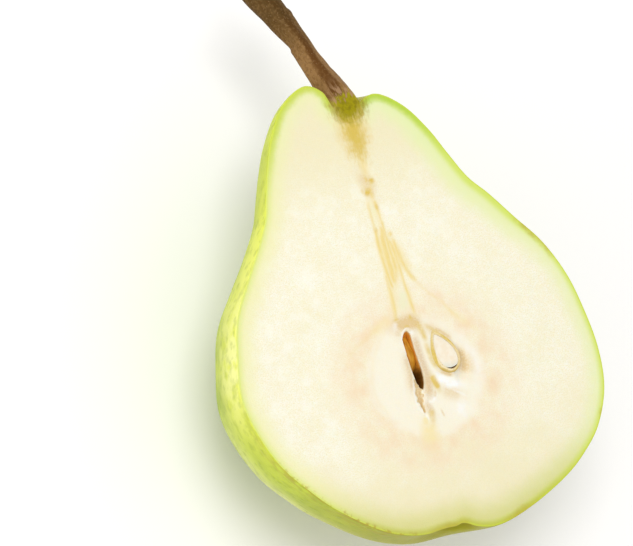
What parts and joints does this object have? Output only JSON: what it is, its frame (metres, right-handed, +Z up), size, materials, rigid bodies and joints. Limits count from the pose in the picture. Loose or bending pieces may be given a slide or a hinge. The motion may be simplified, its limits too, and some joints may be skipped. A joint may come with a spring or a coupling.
{
  "type": "halved pear",
  "caption": "Half of a green pear, cut lengthwise through the core, lying on its rounded back with the cut face up and the stem on.",
  "frame": {"origin": "on the small flat spot under the half's rounded back, below the core axis of the fruit", "axes": "+X across the fruit, +Y from the blossom end to the stem, +Z up, square to the level cut face"},
  "size_m": [0.0724, 0.1083, 0.0368],
  "materials": {
    "flesh_and_skin": "moist cream flesh on the cut face, satin green skin with small darker dots on the back",
    "stem_bark": "dry brown bark with shallow ridges",
    "calyx_dry": "dry brown papery sepals",
    "seed_skin": "smooth brown seed skin",
    "seed_inside": "smooth cream kernel"
  },
  "bodies": {
    "root": {"half_pear": "flesh_and_skin", "stem": "stem_bark", "calyx": "calyx_dry", "seed_whole": "seed_skin", "seed_coat": "seed_skin", "seed_kernel": "seed_inside"}
  },
  "joints": []
}
